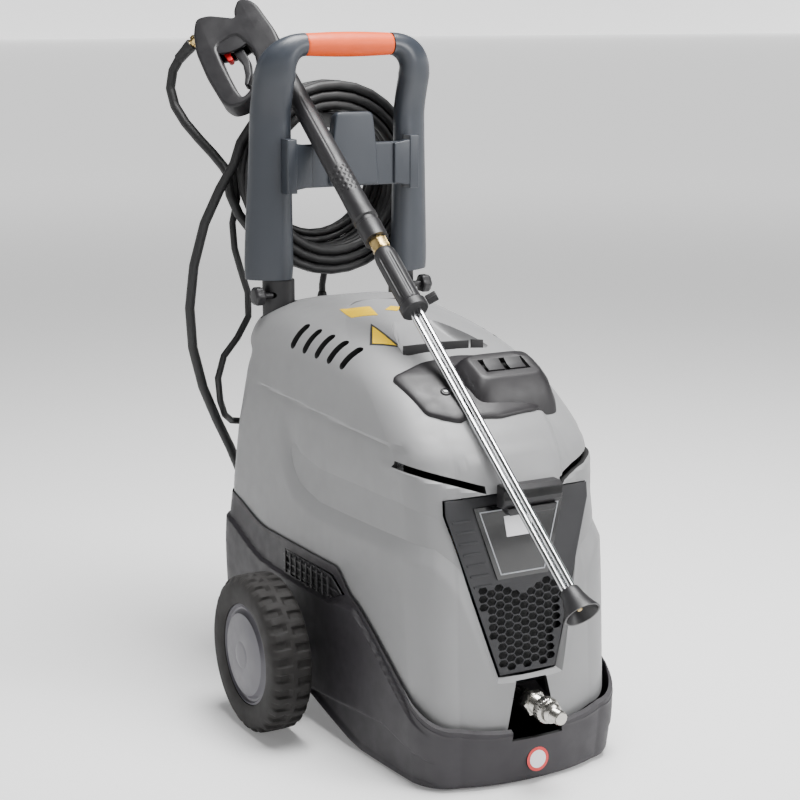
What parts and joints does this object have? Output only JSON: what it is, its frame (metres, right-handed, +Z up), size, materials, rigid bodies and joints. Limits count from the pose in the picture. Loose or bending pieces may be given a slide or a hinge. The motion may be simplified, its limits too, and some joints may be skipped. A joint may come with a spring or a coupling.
{
  "type": "pressure washer",
  "caption": "Wheeled hot-water pressure washer with moulded hood, push handle, trigger gun on a twin-tube lance, coiled hose and mains lead.",
  "frame": {"origin": "on the floor, under the middle of the machine's plan box without its cords", "axes": "+Z up, -Y towards the front panel and water inlet, +X to the right of someone looking along +Y"},
  "size_m": [0.552, 0.9762, 1.0416],
  "materials": {
    "hood_shell": "satin moulded plastic with a fine grain",
    "base_shell": "satin moulded plastic",
    "frame_plastic": "satin moulded plastic",
    "grip_plastic": "soft moulded grip",
    "black_plastic": "moulded plastic",
    "gloss_panel": "gloss plate",
    "soft_rubber": "matt rubber",
    "tyre_rubber": "matt rubber",
    "hub_plastic": "satin moulded plastic",
    "nickel": "nickel plated",
    "brass": "machined brass",
    "steel": "drawn tube",
    "red_plastic": "moulded plastic",
    "tank_plastic": "blow moulded tank",
    "cast_iron": "painted casting"
  },
  "bodies": {
    "machine": {"hood": "hood_shell", "exhaust_recess": "hood_shell", "base_tray": "base_shell", "handle_frame": "frame_plastic", "hook_bracket": "frame_plastic", "handle_grip": "grip_plastic", "side_grille_left": "black_plastic", "side_grille_right": "black_plastic", "front_panel": "black_plastic", "lance_rest": "black_plastic", "control_cap": "black_plastic", "handle_leg_left": "black_plastic", "handle_leg_right": "black_plastic", "hose_hook": "black_plastic", "gun_body": "black_plastic", "lance_grip": "black_plastic", "pressure_sleeve": "black_plastic", "nozzle_guard": "black_plastic", "electric_box": "black_plastic", "leg_brace": "black_plastic", "name_plate": "gloss_panel", "foot_left": "soft_rubber", "foot_right": "soft_rubber", "lead_gland": "soft_rubber", "hose_coil": "soft_rubber", "lead_coil": "soft_rubber", "hose_whip": "soft_rubber", "hose_riser": "soft_rubber", "lead_riser": "soft_rubber", "lead_tail": "soft_rubber", "mains_plug": "soft_rubber", "inlet_fitting": "nickel", "gun_inlet": "brass", "lance_coupling": "brass", "nozzle_tip": "brass", "pressure_outlet": "brass", "pump": "brass", "axle": "steel", "lance_tube_main": "steel", "lance_tube_bypass": "steel", "boiler_drum": "steel", "flue_duct": "steel", "fuel_tank": "tank_plastic", "detergent_tank": "tank_plastic", "motor": "cast_iron", "burner_blower": "cast_iron"},
    "wheel_left": {"tyre_left": "tyre_rubber", "hub_left": "hub_plastic"},
    "wheel_right": {"tyre_right": "tyre_rubber", "hub_right": "hub_plastic"},
    "trigger": {"trigger": "black_plastic"},
    "safety_latch": {"safety_latch": "red_plastic"},
    "rocker_left": {"rocker_left": "black_plastic"},
    "rocker_right": {"rocker_right": "black_plastic"},
    "clamp_knob_left": {"clamp_knob_left": "black_plastic"},
    "clamp_knob_right": {"clamp_knob_right": "black_plastic"},
    "valve_knob": {"valve_knob": "black_plastic"},
    "motor_rotor": {"motor_rotor": "steel"},
    "fuel_cap": {"fuel_cap": "red_plastic"},
    "inlet_coupling": {"inlet_coupling": "nickel"}
  },
  "joints": [
    {"name": "wheel_left_spin", "type": "hinge", "parent": "machine", "child": "wheel_left", "pos_m": [-0.244, 0.04361, 0.115], "axis": [1, 0, 0], "continuous": true},
    {"name": "wheel_right_spin", "type": "hinge", "parent": "machine", "child": "wheel_right", "pos_m": [0.244, 0.04361, 0.115], "axis": [1, 0, 0], "continuous": true},
    {"name": "trigger_pull", "type": "hinge", "parent": "machine", "child": "trigger", "pos_m": [-0.11295, 0.38965, 0.96384], "axis": [0.5953, 0.5344, -0.6], "range_deg": [0, 10], "stiffness_Nm_per_rad": 2, "springref_deg": -5.73},
    {"name": "safety_latch_turn", "type": "hinge", "parent": "machine", "child": "safety_latch", "pos_m": [-0.12666, 0.40475, 0.96367], "axis": [0.5953, 0.5344, -0.6], "range_deg": [0, 10]},
    {"name": "rocker_left_tip", "type": "hinge", "parent": "machine", "child": "rocker_left", "pos_m": [0.021, -0.15847, 0.54713], "axis": [1, 0, 0], "range_deg": [0, 16]},
    {"name": "rocker_right_tip", "type": "hinge", "parent": "machine", "child": "rocker_right", "pos_m": [0.055, -0.15847, 0.54713], "axis": [1, 0, 0], "range_deg": [0, 16]},
    {"name": "clamp_knob_left_turn", "type": "hinge", "parent": "machine", "child": "clamp_knob_left", "pos_m": [-0.148, 0.25561, 0.6], "axis": [1, 0, 0], "continuous": true},
    {"name": "clamp_knob_right_turn", "type": "hinge", "parent": "machine", "child": "clamp_knob_right", "pos_m": [0.148, 0.25561, 0.6], "axis": [1, 0, 0], "continuous": true},
    {"name": "valve_knob_turn", "type": "hinge", "parent": "machine", "child": "valve_knob", "pos_m": [-0.02877, -0.07412, 0.6343], "axis": [0.8025, -0.3584, 0.477], "range_deg": [0, 90]},
    {"name": "motor_rotor_spin", "type": "hinge", "parent": "machine", "child": "motor_rotor", "pos_m": [0.078, -0.12439, 0.196], "axis": [0, 1, 0], "continuous": true},
    {"name": "fuel_cap_turn", "type": "hinge", "parent": "machine", "child": "fuel_cap", "pos_m": [0.092, 0.33861, 0.22], "axis": [0, 1, 0], "continuous": true},
    {"name": "inlet_coupling_spin", "type": "hinge", "parent": "machine", "child": "inlet_coupling", "pos_m": [0, -0.34839, 0.111], "axis": [0, 1, 0], "continuous": true}
  ]
}
